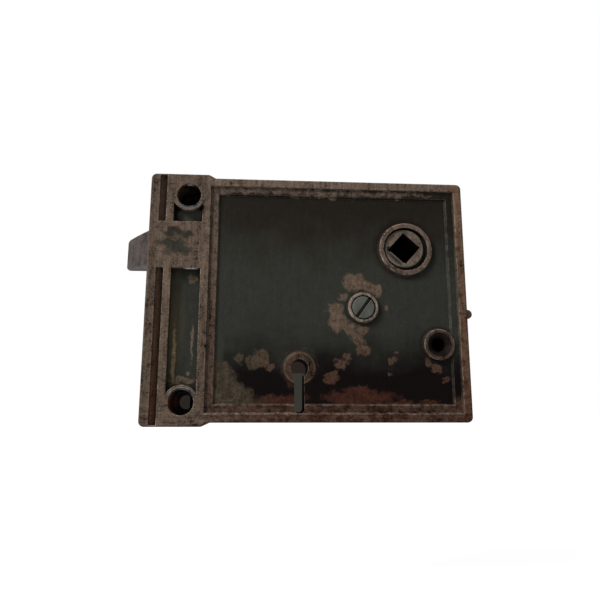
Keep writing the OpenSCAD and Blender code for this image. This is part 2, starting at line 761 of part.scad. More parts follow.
module hub()
    color(steel)
        difference() {
            union() {
                edged_rod(spindle, hub_d, hub_edge, face_y + hub_sunk, cap_y - slide_clear);
                rod_y(spindle, collar_d, inner_y + slide_clear, horn_y - horn_t);
                rod_y(spindle, tail_d, cap_y - cut, -slide_clear);
                along_y(horn_y - horn_t, horn_y)
                    translate(spindle) {
                        horn();
                        mirror([0, 1]) horn();
                    }
            }
            translate([spindle[0], 0, spindle[1]])
                rotate([0, -45 - square_turn, 0])
                    cube([spindle_sq, 4 * case_t, spindle_sq], center = true);
            translate([spindle[0], face_y + hub_sunk, spindle[1]])
                rotate([0, 45 - square_turn, 0])
                    translate([0, 0, -spindle_sq / 2])
                        rotate([45, 0, 0])
                            cube([worn_l, worn_edge * sqrt(2), worn_edge * sqrt(2)], center = true);
            translate([spindle[0], face_y + hub_sunk, spindle[1]])
                rotate([0, -square_turn, 0])
                    translate([-hub_d / 2 + hub_wall / 2, -keyway_deep, -keyway_w / 2])
                        cube([hub_d / 2, 2 * keyway_deep, keyway_w]);
        }

// Top edge of the dead bolt: a notch for each end of the throw, with a ramp between them
module stump_track() {
    low = bolt_top - notch_deep;
    first = stump_at[0];
    second = first + bolt_throw;
    polygon([
        [first - notch_r, bolt_top + cut], [first - notch_r, low], [first + notch_r, low],
        [second - notch_r, low + ramp_slope * (bolt_throw - 2 * notch_r)],
        [second - notch_r, low], [second + notch_r, low], [second + notch_r, bolt_top + cut]]);
}

module dead_bolt()
    color(steel)
        difference() {
            union() {
                block(front_x + bolt_sunk, front_x + bolt_sunk + bolt_head_l, bolt_y, back_y, bolt_z, bolt_top);
                block(front_x + bolt_sunk, talon_x + talon_w + tail_l, bolt_y, bar_y, bolt_z, bolt_top);
            }
            block(talon_x, talon_x + talon_w, bolt_y - cut, bar_y + cut, bolt_z - cut, bolt_z + talon_deep);
            along_y(bolt_y - cut, bar_y + cut) {
                stump_track();
                for (x = [0, bolt_throw]) translate(stud_at + [x, 0]) circle(d = stud_d + 2 * slide_clear);
                translate(stud_at + [0, -stud_d / 2 - slide_clear]) square([bolt_throw, stud_d + 2 * slide_clear]);
            }
        }

module bolt_stud()
    color(steel)
        rod_y(stud_at, stud_d, inner_y - field_t / 2, back_y);

// Belly of the tumbler: one wave, lowest over the key
function belly(x) =
    let (depth = pivot[1] - key[1] - belly_over_key - eye_r,
         share = (x - belly_start) / (pivot_before_key - belly_start))
    -eye_r - depth * (1 - cos(180 * share)) / 2;

module tumbler()
    color(steel)
        difference() {
            along_y(tumbler_y, back_y)
                translate(pivot) {
                    circle(r = eye_r);
                    polygon(concat(
                        [[0, eye_r], [0, -eye_r]],
                        [for (x = [belly_start : 2 : tumbler_l]) [x, belly(x)]],
                        [[tumbler_l, belly(tumbler_l)], [tumbler_l, -end_drop],
                         [stump_reach, -neck_drop], [neck_l, -neck_drop]]));
                }
            rod_y(pivot, pivot_d + 2 * run_clear, face_y, 0);
            rod_y(stump_at, stump_d + 2 * run_clear, face_y, 0);
            block(leaf_x - leaf_t / 2 - run_clear, leaf_x + leaf_t / 2 + run_clear, face_y, 0,
                leaf_foot - run_clear, pivot[1] + eye_r);
        }

module tumbler_stud()
    color(steel)
        rod_y(pivot, pivot_d, inner_y - field_t / 2, back_y);

module tumbler_stump()
    color(steel)
        rod_y(stump_at, stump_d, bolt_y, back_y);

// A flat spring: upright in its slit, then bent under the stop of the latch spring
module tumbler_spring() {
    arc = [for (a = [0 : 10 : 100]) [-cos(a), sin(a)]];
    bend_at = [leaf_x - leaf_t / 2 + leaf_bend, leaf_head - leaf_bend];
    color(steel)
        along_y(tumbler_y, back_y)
            polygon(concat(
                [[leaf_x - leaf_t / 2, leaf_foot]],
                [for (p = arc) bend_at + leaf_bend * p],
                [for (i = [len(arc) - 1 : -1 : 0]) bend_at + (leaf_bend - leaf_t) * arc[i]],
                [[leaf_x + leaf_t / 2, leaf_foot]]));
}

case();
ward();
cap();
cap_screw();
latch_bolt();
latch_rod();
latch_pin();
latch_spring();
spring_washer();
latch_yoke();
yoke_rivets();
hub();
dead_bolt();
bolt_stud();
tumbler();
tumbler_stud();
tumbler_stump();
tumbler_spring();
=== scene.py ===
from math import radians

import bpy
from mathutils import Matrix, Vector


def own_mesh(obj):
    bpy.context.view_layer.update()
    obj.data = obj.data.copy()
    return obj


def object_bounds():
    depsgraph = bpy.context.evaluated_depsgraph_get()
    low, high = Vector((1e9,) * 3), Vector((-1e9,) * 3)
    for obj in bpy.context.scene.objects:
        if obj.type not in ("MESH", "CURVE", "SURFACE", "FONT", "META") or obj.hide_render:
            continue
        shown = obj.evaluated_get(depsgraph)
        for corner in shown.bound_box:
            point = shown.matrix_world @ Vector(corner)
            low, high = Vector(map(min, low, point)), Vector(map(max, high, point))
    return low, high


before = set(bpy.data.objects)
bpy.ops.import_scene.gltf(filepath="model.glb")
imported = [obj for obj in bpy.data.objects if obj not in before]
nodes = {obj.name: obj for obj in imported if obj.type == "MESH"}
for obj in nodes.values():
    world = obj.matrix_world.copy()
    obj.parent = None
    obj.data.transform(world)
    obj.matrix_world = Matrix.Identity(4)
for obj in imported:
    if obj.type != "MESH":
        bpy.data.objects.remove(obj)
cad_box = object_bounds()


# CASE. A cast-iron box with a moulded face, raised front strip, pockets, grooves and rings.
# It was dipped in black-green japan, which has since worn off the rims, the strip and the
# rings, and has flaked off the field in ragged patches. It is screwed to the door.

# The face in millimetres: levels of its rim, band and field, half its length, the inner edge of
# the strip, the middle of the narrow groove, the middles of the rings as x and z, and how far
# the two cups lie from the middle of the case
rim_y = cad_box[0].y * 1000
band_y, field_y = rim_y + 1.0, rim_y + 1.8
end_x = 57.15
strip_x, groove_x = 21.5 - end_x, 4.6 - end_x
hub_at, screw_at, heel_at, key_at = (35.15, 18.6), (19.5, -3.6), (46.4, -16.6), (-3.1, -25.1)
cup_x, cup_z = 43.3, 36.9


def linear(text):
    """A hex sRGB colour as the linear colour that shaders take."""
    parts = [int(text[i:i + 2], 16) / 255 for i in (1, 3, 5)]
    return [c / 12.92 if c < 0.04045 else ((c + 0.055) / 1.055) ** 2.4 for c in parts] + [1]


def put(tree, kind, inputs, **settings):
    """Adds a shader node, sets it up, fills or links its inputs, and returns its outputs."""
    node = tree.nodes.new("ShaderNode" + kind)
    for name, value in settings.items():
        setattr(node, name, value)
    for socket, value in inputs.items():
        if isinstance(value, bpy.types.NodeSocket):
            tree.links.new(value, node.inputs[socket])
        elif isinstance(value, str):
            node.inputs[socket].default_value = linear(value)
        else:
            node.inputs[socket].default_value = value
    return node.outputs


def start(name):
    """A new material: itself, its node tree and the inputs of its shader."""
    material = bpy.data.materials.new(name)
    material.use_nodes = True
    tree = material.node_tree
    return material, tree, tree.nodes["Principled BSDF"].inputs


def place_in_mm(tree):
    """The place on a piece, in millimetres of the frame with the piece at rest."""
    place = put(tree, "TexCoord", {})["Object"]
    return put(tree, "VectorMath", {0: place, "Scale": 1000}, operation="SCALE")[0]


def blobs(tree, place, *groups):
    """How far a place lies from the nearest of some ellipses, where 1 is on an edge and 9 is the
    most. A group has the half axes of an ellipse of size 1, and the middles and sizes of some."""
    nearest = 9.0
    for wide, high, spots in groups:
        local = put(tree, "Mapping", {"Vector": place, "Scale": (1 / wide, 0, 1 / high)})[0]
        for x, z, size in spots:
            middle = (x / wide, 0, z / high)
            far = put(tree, "VectorMath", {0: local, 1: middle}, operation="DISTANCE")["Value"]
            far = put(tree, "Math", {0: far, 1: size}, operation="DIVIDE")[0]
            nearest = put(tree, "Math", {0: nearest, 1: far}, operation="MINIMUM")[0]
    return nearest


def dress(material, *names):
    """Gives CAD nodes their material."""
    for name in names:
        nodes[name].data.materials.clear()
        nodes[name].data.materials.append(material)


# Japanned iron: a satin black-green coat over brown iron. The eye reads the coat in the
# sunk parts, brown-grey metal with bright edges on what stands proud, some of them a painted
# highlight, and dirt and painted shade in corners.
# In a MapRange node, 1 and 2 are the range read and 3 and 4 the range given, else 0 to 1.
japan, tree, shader = start("japanned_iron")
mm = place_in_mm(tree)
x, y, z = put(tree, "SeparateXYZ", {0: mm})
smooth = {"interpolation_type": "SMOOTHSTEP"}
grain_mm, blotch_mm, cloud_mm = 0.6667, 2.381, 11.11
grain = put(tree, "TexNoise",
            {"Vector": mm, "Scale": 1 / grain_mm, "Detail": 4, "Roughness": 0.65})[0]
blotch = put(tree, "TexNoise",
             {"Vector": mm, "Scale": 1 / blotch_mm, "Detail": 7, "Roughness": 0.7})[0]
cloud = put(tree, "TexNoise", {"Vector": mm, "Scale": 1 / cloud_mm, "Detail": 3})[0]

# Where the metal is bare: all that stands up to the rim, the moulding at the left and the
# foot, flakes on the field, whose edges a noise of 4 mm makes ragged, and two scrapes down the
# lower pocket. Some coat is left on the strip. Each spot has its x, z and size in millimetres.
flake_mm, pull_mm = 4.0, 7.0
ragged = put(tree, "TexNoise",
             {"Vector": mm, "Scale": 1 / flake_mm, "Detail": 4, "Roughness": 0.55})[1]
shift = put(tree, "VectorMath", {0: ragged, 1: (0.5, 0.5, 0.5)}, operation="SUBTRACT")[0]
shift = put(tree, "VectorMath", {0: shift, "Scale": pull_mm}, operation="SCALE")[0]
warped = put(tree, "VectorMath", {0: mm, 1: shift}, operation="ADD")[0]
near_screw = [(14.6, 6.6, 2.6), (18.2, 5.4, 2.6), (21.5, 4.2, 2.2), (24.4, 2.4, 2.0),
              (13.0, 0.6, 1.7), (9.6, -4.6, 2.6), (10.6, -8.8, 2.8), (14.8, -11.2, 2.5),
              (19.6, -11.4, 1.7), (17.6, -14.8, 2.2), (19.2, -18.4, 2.2), (28.0, -3.6, 0.7)]
near_key = [(*key_at, 5.6), (13.4, -21.4, 1.3), (11.2, -24.2, 1.8), (8.4, -28.0, 1.9),
            (-18.4, -23.2, 2.4), (-16.4, -21.6, 2.6), (-13.2, -24.6, 1.5), (-24.0, -21.8, 1.6),
            (19.4, -32.4, 1.8)]
near_heel = [(42.2, -22.6, 1.5), (44.8, -24.6, 1.7), (48.0, -28.6, 1.3), (29.5, -22.9, 1.2),
             (30.8, -19.9, 0.6), (28.9, -27.3, 0.6)]
near_strip = [(-30.4, -26.8, 3.6), (-28.4, -33.0, 5.2), (-22.0, -35.6, 3.2),
              (-41.9, -27.0, 0.6), (-41.8, 7.0, 1.4)]
along_foot = [(17.8, -35.3, 2.8), (32.0, -37.2, 1.1), (42.4, -37.6, 0.9), (-10.4, -36.2, 2.0),
              (-43.8, -29.4, 1.0)]
along_top = [(-18.0, 39.6, 1.3), (9.0, 39.2, 1.4), (34.0, 39.5, 0.9)]
flaked = blobs(tree, warped, (1, 1, near_screw + near_key + near_heel + near_strip),
               (4, 1, along_foot), (12, 1, along_top))
bent = put(tree, "VectorMath", {0: shift, "Scale": 0.35}, operation="SCALE")[0]
bent = put(tree, "VectorMath", {0: mm, 1: bent}, operation="ADD")[0]
scraped = blobs(tree, bent, (1, 14, [(-40.8, -16.5, 0.65), (-47.0, -21.0, 1.1)]))
scraped = put(tree, "Math", {0: scraped, 1: 0.4}, operation="ADD")[0]
flaked = put(tree, "Math", {0: flaked, 1: scraped}, operation="MINIMUM")[0]
flaked = put(tree, "Math", {0: blotch, 1: 1.5, 2: flaked}, operation="MULTIPLY_ADD")[0]
chipped = put(tree, "MapRange", {"Value": flaked, 1: 1.2, 2: 1.65, 3: 0.85, 4: 1.15})[0]
flaked = put(tree, "MapRange", {"Value": flaked, 1: 2.1, 2: 1.4}, **smooth)[0]
at_left = put(tree, "MapRange", {"Value": x, 1: strip_x + 6.5, 2: strip_x + 4.5})[0]
at_foot = put(tree, "MapRange", {"Value": z, 1: -34, 2: -37.5})[0]
sides = put(tree, "Math", {0: at_left, 1: at_foot}, operation="MAXIMUM")[0]
level = put(tree, "Math", {0: blotch, 1: 0.8, 2: y}, operation="MULTIPLY_ADD")[0]
lifted = put(tree, "MapRange", {"Value": level, 1: field_y + 0.3, 2: field_y - 0.1}, **smooth)[0]
moulded = put(tree, "Math", {0: lifted, 1: sides}, operation="MULTIPLY")[0]
proud = put(tree, "MapRange", {"Value": level, 1: band_y + 0.1, 2: band_y - 0.3}, **smooth)[0]
on_strip = [(-48.4, 22.8, 1.7), (-43.0, 22.2, 1.1), (-48.6, 18.4, 2.2), (-46.4, 16.4, 1.8)]
coat_left = blobs(tree, warped, (2, 1, on_strip))
coat_left = put(tree, "Math", {0: blotch, 1: 1.3, 2: coat_left}, operation="MULTIPLY_ADD")[0]
coat_left = put(tree, "MapRange", {"Value": coat_left, 1: 2.2, 2: 1.2, 4: 0.9}, **smooth)[0]
bare = put(tree, "Math", {0: proud, 1: flaked}, operation="MAXIMUM")[0]
bare = put(tree, "Math", {0: bare, 1: moulded}, operation="MAXIMUM")[0]
nib = put(tree, "MapRange", {"Value": x, 1: end_x + 0.15, 2: end_x + 0.45, 4: 0.8})[0]
bare = put(tree, "Math", {0: bare, 1: nib}, operation="MAXIMUM")[0]
bare = put(tree, "Math", {0: bare, 1: coat_left}, operation="SUBTRACT", use_clamp=True)[0]

# The coat is green over the middle of the field, brown-black to its top and black at its foot
wavy_z = put(tree, "Math", {0: cloud, 1: 22.0, 2: z}, operation="MULTIPLY_ADD")[0]
to_brown = put(tree, "MapRange", {"Value": wavy_z, 1: 18, 2: 44}, **smooth)[0]
coat = put(tree, "MixRGB", {"Fac": to_brown, "Color1": "#292a25", "Color2": "#1b1713"})[0]
to_black = put(tree, "MapRange", {"Value": wavy_z, 1: 3, 2: -18}, **smooth)[0]
to_black = put(tree, "Math", {0: to_black, 1: at_left}, operation="SUBTRACT", use_clamp=True)[0]
coat = put(tree, "MixRGB", {"Fac": to_black, "Color1": coat, "Color2": "#090505"})[0]

# The iron is grey-brown on the strip and the top rim, darker and redder to the foot, warmer
# to the heel and darker where it is sunk
ends = put(tree, "Math", {0: x, 1: 12.0}, operation="SUBTRACT")[0]
ends = put(tree, "Math", {0: ends}, operation="ABSOLUTE")[0]
ends = put(tree, "MapRange", {"Value": ends, 1: 16, 2: 46, 4: 24})[0]
redder = put(tree, "Math", {0: cloud, 1: -24.0, 2: z}, operation="MULTIPLY_ADD")[0]
redder = put(tree, "Math", {0: redder, 1: ends}, operation="ADD")[0]
redder = put(tree, "MapRange", {"Value": redder, 1: 26, 2: -56})[0]
iron = put(tree, "MixRGB", {"Fac": redder, "Color1": "#5c4f45", "Color2": "#331c13"})[0]
strip = put(tree, "MapRange", {"Value": x, 1: strip_x + 1.5, 2: strip_x - 1.5})[0]
iron = put(tree, "MixRGB", {"Fac": strip, "Color1": iron, "Color2": "#52463c"})[0]
spotted = put(tree, "MapRange", {"Value": blotch, 1: 0.42, 2: 0.6, 4: 0.6})[0]
iron = put(tree, "MixRGB", {"Fac": spotted, "Color1": iron, "Color2": "#40332a"})[0]
warm = put(tree, "MapRange", {"Value": x, 1: 46, 2: 54.5, 4: 0.9})[0]
iron = put(tree, "MixRGB", {"Fac": warm, "Color1": iron, "Color2": "#ffeada"},
           blend_type="MULTIPLY")[0]
sunk = put(tree, "MapRange", {"Value": y, 1: rim_y + 0.2, 2: rim_y + 0.9, 3: 1.0, 4: 0.76})[0]
outer = put(tree, "MapRange",
            {"Value": x, 1: groove_x - 1.45, 2: groove_x - 2.95, 3: 1.0, 4: 0.8})[0]
sunk = put(tree, "Math", {0: sunk, 1: outer}, operation="MULTIPLY")[0]
iron = put(tree, "VectorMath", {0: iron, "Scale": sunk}, operation="SCALE")[0]

# The screw's ring is lighter than the rest and the heel's ring darker, and the cups have thin
# grey lips with a dark edge, seen where they stand in the pockets
collar = blobs(tree, mm, (1, 1, [(*screw_at, 5.7)]))
collar = put(tree, "MapRange", {"Value": collar, 1: 1.0, 2: 0.92, 4: 0.36})[0]
iron = put(tree, "MixRGB", {"Fac": collar, "Color1": iron, "Color2": "#80756c"})[0]
heel = blobs(tree, mm, (1, 1, [(*heel_at, 6.8)]))
heel = put(tree, "MapRange", {"Value": heel, 1: 1.0, 2: 0.94, 4: 0.45})[0]
iron = put(tree, "MixRGB", {"Fac": heel, "Color1": iron, "Color2": "#2a211c"})[0]
mirrored = put(tree, "VectorMath", {0: mm}, operation="ABSOLUTE")[0]
cup_lip = blobs(tree, mirrored, (1, 1, [(cup_x, cup_z, 5.2)]))
inner_lip = put(tree, "MapRange", {"Value": cup_lip, 1: 0.95, 2: 0.91, 4: 0.85})[0]
cup_lip = put(tree, "MapRange", {"Value": cup_lip, 1: 1.04, 2: 0.98, 4: 0.6})[0]
inward = put(tree, "Math", {0: z}, operation="ABSOLUTE")[0]
inward = put(tree, "MapRange", {"Value": inward, 1: cup_z - 1.4, 2: cup_z - 3.4})[0]
inward = put(tree, "Math", {0: inward, 1: strip}, operation="MULTIPLY")[0]
cup_lip = put(tree, "Math", {0: cup_lip, 1: inward}, operation="MULTIPLY")[0]
iron = put(tree, "MixRGB", {"Fac": cup_lip, "Color1": iron, "Color2": "#5c5d5d"})[0]
inner_lip = put(tree, "Math", {0: inner_lip, 1: inward}, operation="MULTIPLY")[0]
iron = put(tree, "MixRGB", {"Fac": inner_lip, "Color1": iron, "Color2": "#14100e"})[0]

# On the field it is tan by the screw, brown lower down, red-brown at the foot and olive by
# the strip, and on the strip a lighter tan, partly painted light for the shade of its pockets.
# It is lighter along the edge of each flake, and palest on the scrape beside the groove, where
# painted light offsets the shade of the groove's wall
browner = put(tree, "MapRange", {"Value": z, 1: -10, 2: -20})[0]
patch = put(tree, "MixRGB", {"Fac": browner, "Color1": "#54463b", "Color2": "#44352b"})[0]
rusted = put(tree, "MapRange", {"Value": z, 1: -24, 2: -33})[0]
patch = put(tree, "MixRGB", {"Fac": rusted, "Color1": patch, "Color2": "#351f17"})[0]
olive = put(tree, "MapRange", {"Value": x, 1: -14, 2: -22})[0]
patch = put(tree, "MixRGB", {"Fac": olive, "Color1": patch, "Color2": "#393228"})[0]
patch = put(tree, "MixRGB", {"Fac": strip, "Color1": patch, "Color2": "#594d40"})[0]
painted_light_by_groove = put(tree, "MapRange", {"Value": x, 1: -44.5, 2: -46.5})[0]
patch = put(tree, "MixRGB", {"Fac": painted_light_by_groove, "Color1": patch, "Color2": "#7d6d54"})[0]
patch = put(tree, "VectorMath", {0: patch, "Scale": chipped}, operation="SCALE")[0]
field = put(tree, "MapRange", {"Value": y, 1: field_y - 0.4, 2: field_y - 0.1})[0]
iron = put(tree, "MixRGB", {"Fac": field, "Color1": iron, "Color2": patch})[0]
colour = put(tree, "MixRGB", {"Fac": bare, "Color1": coat, "Color2": iron})[0]

# The outer sides are chipped. Edges and the lips of the rings are bright with wear. The slopes
# that face up, and by the heel those that face left, are bright with wear and a painted
# highlight, as they face the lamp. All are less so on the band and at the heel end
round_edge = put(tree, "Bevel", {"Radius": 0.00025}, samples=6)[0]
flat = put(tree, "NewGeometry", {})["True Normal"]
turned = put(tree, "VectorMath", {0: round_edge, 1: flat}, operation="DOT_PRODUCT")["Value"]
open_air = put(tree, "AmbientOcclusion", {"Distance": 0.004}, samples=8)["AO"]
rubbed = put(tree, "MapRange", {"Value": turned, 1: 0.99, 2: 0.88, 4: 0.8})[0]
clear = put(tree, "MapRange", {"Value": open_air, 1: 0.6, 2: 0.9})[0]
rubbed = put(tree, "Math", {0: rubbed, 1: clear}, operation="MULTIPLY")[0]
rings = blobs(tree, mm, (1, 1, [(*hub_at, 12), (*screw_at, 6.5), (*heel_at, 6.5), (*key_at, 6.5)]))
rings = put(tree, "MapRange", {"Value": rings, 1: 1.05, 2: 0.95, 4: 0.55})[0]
to_right, to_back, to_top = put(tree, "SeparateXYZ", {0: flat})
outside = put(tree, "MapRange", {"Value": to_back, 1: -0.5, 2: -0.2, 4: 0.8})[0]
outside = put(tree, "Math", {0: outside, 1: clear}, operation="MULTIPLY")[0]
chips = put(tree, "Math", {0: cloud, 1: 1.4, 2: blotch}, operation="MULTIPLY_ADD")[0]
chips = put(tree, "MapRange", {"Value": chips, 1: 1.26, 2: 1.36})[0]
outside = put(tree, "Math", {0: outside, 1: chips}, operation="MULTIPLY")[0]
colour = put(tree, "MixRGB", {"Fac": outside, "Color1": colour, "Color2": "#4b3d34"})[0]
sloped = put(tree, "MapRange", {"Value": to_back, 1: -0.98, 2: -0.85})[0]
not_steep = put(tree, "MapRange", {"Value": to_back, 1: -0.3, 2: -0.5})[0]
sloped = put(tree, "Math", {0: sloped, 1: not_steep}, operation="MULTIPLY")[0]
worn_and_lit_lips = put(tree, "Math", {0: rings, 1: proud}, operation="MULTIPLY")[0]
worn_and_lit_upward = put(tree, "MapRange", {"Value": to_top, 1: 0.2, 2: 0.5, 4: 0.22})[0]
worn_and_lit_lips = put(tree, "Math", {0: worn_and_lit_lips, 1: worn_and_lit_upward}, operation="MAXIMUM")[0]
heelward = put(tree, "MapRange", {"Value": x, 1: 44, 2: 46})[0]
worn_and_lit_leftward = put(tree, "MapRange", {"Value": to_right, 1: -0.2, 2: -0.5, 4: 0.1})[0]
worn_and_lit_leftward = put(tree, "Math", {0: worn_and_lit_leftward, 1: heelward}, operation="MULTIPLY")[0]
worn_and_lit_lips = put(tree, "Math", {0: worn_and_lit_lips, 1: worn_and_lit_leftward}, operation="MAXIMUM")[0]
worn_and_lit_lips = put(tree, "Math", {0: worn_and_lit_lips, 1: sloped}, operation="MULTIPLY")[0]
rubbed = put(tree, "Math", {0: rubbed, 1: worn_and_lit_lips}, operation="MAXIMUM")[0]
broken = put(tree, "MapRange", {"Value": blotch, 1: 0.36, 2: 0.62, 3: 0.15, 4: 0.85})[0]
rubbed = put(tree, "Math", {0: rubbed, 1: broken}, operation="MULTIPLY")[0]
on_band = put(tree, "MapRange", {"Value": y, 1: band_y - 0.3, 2: band_y - 0.1, 3: 1, 4: 0.6})[0]
rubbed = put(tree, "Math", {0: rubbed, 1: on_band}, operation="MULTIPLY")[0]
at_heel = put(tree, "MapRange", {"Value": x, 1: end_x - 3.75, 2: end_x - 2.95, 3: 1, 4: 0.75})[0]
rubbed = put(tree, "Math", {0: rubbed, 1: at_heel}, operation="MULTIPLY")[0]
colour = put(tree, "MixRGB", {"Fac": rubbed, "Color1": colour, "Color2": "#a09388"})[0]

# The ring of the keyhole has a worn lip, and the slope outside it is painted dark: coat left there,
# and painted shade
key_ring = blobs(tree, mm, (1, 1, [(*key_at, 5.6)]))
for middle, half, share, tint, blend in ((0.94, 0.09, 0.11, "#98846c", "MIX"),
                                         (1.12, 0.13, 0.9, "#26211c", "DARKEN")):
    off = put(tree, "Math", {0: key_ring, 1: middle}, operation="SUBTRACT")[0]
    off = put(tree, "Math", {0: off}, operation="ABSOLUTE")[0]
    near = put(tree, "MapRange", {"Value": off, 1: half, 2: half / 2, 4: share})[0]
    colour = put(tree, "MixRGB", {"Fac": near, "Color1": colour, "Color2": tint},
                 blend_type=blend)[0]

# The heel's hole is painted near black as shade, a dark band surrounds the rings, and dirt and
# painted shade darken where faces meet
painted_shade_in_heel_hole = blobs(tree, mm, (1, 1, [(*heel_at, 4.5)]))
painted_shade_in_heel_hole = put(tree, "MapRange", {"Value": painted_shade_in_heel_hole, 1: 1.0, 2: 0.92, 4: 0.96})[0]
colour = put(tree, "MixRGB", {"Fac": painted_shade_in_heel_hole, "Color1": colour, "Color2": "#0d0908"})[0]
halo = blobs(tree, mm, (1, 1, [(*screw_at, 7.0), (*heel_at, 7.2), (*hub_at, 12.2)]))
halo = put(tree, "MapRange", {"Value": halo, 1: 1.0, 2: 0.84, 4: 0.65})[0]
halo = put(tree, "Math", {0: halo, 1: field}, operation="MULTIPLY")[0]
dirt_and_painted_shade = put(tree, "MapRange", {"Value": open_air, 1: 0.1, 2: 0.62, 3: 0.95, 4: 0})[0]
dirt_and_painted_shade = put(tree, "Math", {0: dirt_and_painted_shade, 1: halo}, operation="MAXIMUM")[0]
colour = put(tree, "MixRGB", {"Fac": dirt_and_painted_shade, "Color1": colour, "Color2": "#180d0a"})[0]

# Dust and painted light lighten the left of the lower pocket, offsetting the shade of its walls,
# and the narrow groove holds rust, painted lighter at its shaded left and darker at its right as
# painted shade
dust_and_painted_light = blobs(tree, mm, (5.4, 27, [(-48.6, -10.0, 1)]))
dust_and_painted_light = put(tree, "MapRange", {"Value": dust_and_painted_light, 1: 1.05, 2: 0, 4: 0.95})[0]
pocket = put(tree, "MapRange", {"Value": y, 1: rim_y + 2.6, 2: rim_y + 3.2})[0]
dust_and_painted_light = put(tree, "Math", {0: dust_and_painted_light, 1: pocket}, operation="MULTIPLY")[0]
colour = put(tree, "MixRGB", {"Fac": dust_and_painted_light, "Color1": colour, "Color2": "#504a3c"},
             blend_type="LIGHTEN")[0]
groove = blobs(tree, mm, (1, 14, [(groove_x, -20.0, 2.6), (groove_x, 44.0, 2.6)]))
groove = put(tree, "MapRange", {"Value": groove, 1: 1.1, 2: 0.9})[0]
below_rim = put(tree, "MapRange", {"Value": y, 1: rim_y + 0.4, 2: rim_y + 0.8})[0]
above_pocket = put(tree, "MapRange", {"Value": y, 1: rim_y + 3.0, 2: rim_y + 3.4, 3: 1, 4: 0})[0]
groove = put(tree, "Math", {0: groove, 1: below_rim}, operation="MULTIPLY")[0]
groove = put(tree, "Math", {0: groove, 1: above_pocket}, operation="MULTIPLY")[0]
across = put(tree, "Math", {0: blotch, 1: 1.6, 2: x}, operation="MULTIPLY_ADD")[0]
across = put(tree, "MapRange", {"Value": across, 1: groove_x - 0.1, 2: groove_x + 1.2})[0]
groove_rust_and_painted_light = put(tree, "MixRGB", {"Fac": redder, "Color1": "#5c493d", "Color2": "#6f4630"})[0]
groove_rust_and_painted_light = put(tree, "MixRGB", {"Fac": across, "Color1": groove_rust_and_painted_light, "Color2": "#1f1711"})[0]
colour = put(tree, "MixRGB", {"Fac": groove, "Color1": colour, "Color2": groove_rust_and_painted_light})[0]

# The upper pocket is painted lighter to offset its shade, and the lower cup a lighter rust,
# partly painted light for its shade. A painted highlight lies just inside the upper edges of the
# upper cup and the lower pocket
hidden = put(tree, "MapRange", {"Value": y, 1: rim_y + 0.4, 2: rim_y + 0.9})[0]
painted_light_upper_pocket = blobs(tree, mm, (1.6, 1, [(-43.2, 30.2, 2.9)]))
painted_light_upper_pocket = put(tree, "MapRange", {"Value": painted_light_upper_pocket, 1: 1.1, 2: 0.9, 4: 0.8})[0]
painted_light_upper_pocket = put(tree, "Math", {0: painted_light_upper_pocket, 1: hidden}, operation="MULTIPLY")[0]
colour = put(tree, "MixRGB", {"Fac": painted_light_upper_pocket, "Color1": colour, "Color2": "#44453e"})[0]
rust_and_painted_light_in_cup = blobs(tree, mm, (1, 1.4, [(-47.6, -cup_z, 1.6)]))
rust_and_painted_light_in_cup = put(tree, "MapRange", {"Value": rust_and_painted_light_in_cup, 1: 1.4, 2: 0.5, 4: 0.8})[0]
rust_and_painted_light_in_cup = put(tree, "Math", {0: rust_and_painted_light_in_cup, 1: hidden}, operation="MULTIPLY")[0]
colour = put(tree, "MixRGB", {"Fac": rust_and_painted_light_in_cup, "Color1": colour, "Color2": "#6a3a30"})[0]
painted_glint = blobs(tree, mm, (4, 1, [(-41.8, 10.2, 0.7), (-43.0, 42.1, 1.0)]))
painted_glint = put(tree, "MapRange", {"Value": painted_glint, 1: 1.1, 2: 0.6, 4: 0.8})[0]
shallow = put(tree, "MapRange", {"Value": y, 1: rim_y + 1.8, 2: rim_y + 2.6, 3: 1, 4: 0})[0]
painted_glint = put(tree, "Math", {0: painted_glint, 1: hidden}, operation="MULTIPLY")[0]
painted_glint = put(tree, "Math", {0: painted_glint, 1: shallow}, operation="MULTIPLY")[0]
colour = put(tree, "MixRGB", {"Fac": painted_glint, "Color1": colour, "Color2": "#eef2f4"})[0]

# The mottle of old cast iron, strong on bare metal and weak on the coat, with streaks of
# about 1 mm drawn down the strip and the rims and along the foot
streak_mm = 1.111
drawn = put(tree, "MixRGB", {"Fac": at_foot, "Color1": (1, 1, 0.1, 1), "Color2": (0.1, 1, 1, 1)})[0]
drawn = put(tree, "VectorMath", {0: mm, 1: drawn}, operation="MULTIPLY")[0]
streak = put(tree, "TexNoise",
             {"Vector": drawn, "Scale": 1 / streak_mm, "Detail": 4, "Roughness": 0.6})[0]
mottle = put(tree, "Math", {0: blotch, 1: 1.3, 2: grain}, operation="MULTIPLY_ADD")[0]
mottle = put(tree, "Math", {0: streak, 1: 0.7, 2: mottle}, operation="MULTIPLY_ADD")[0]
uneven = put(tree, "Math", {0: mottle, 1: 1.5}, operation="SUBTRACT")[0]
strength = put(tree, "MapRange", {"Value": bare, 3: 0.9, 4: 2.9})[0]
calm = put(tree, "MapRange", {"Value": field, 3: 1.0, 4: 0.6})[0]
strength = put(tree, "Math", {0: strength, 1: calm}, operation="MULTIPLY")[0]
tone = put(tree, "Math", {0: uneven, 1: strength, 2: 1.0}, operation="MULTIPLY_ADD")[0]
colour = put(tree, "VectorMath", {0: colour, "Scale": tone}, operation="SCALE")[0]
tree.links.new(colour, shader["Base Color"])

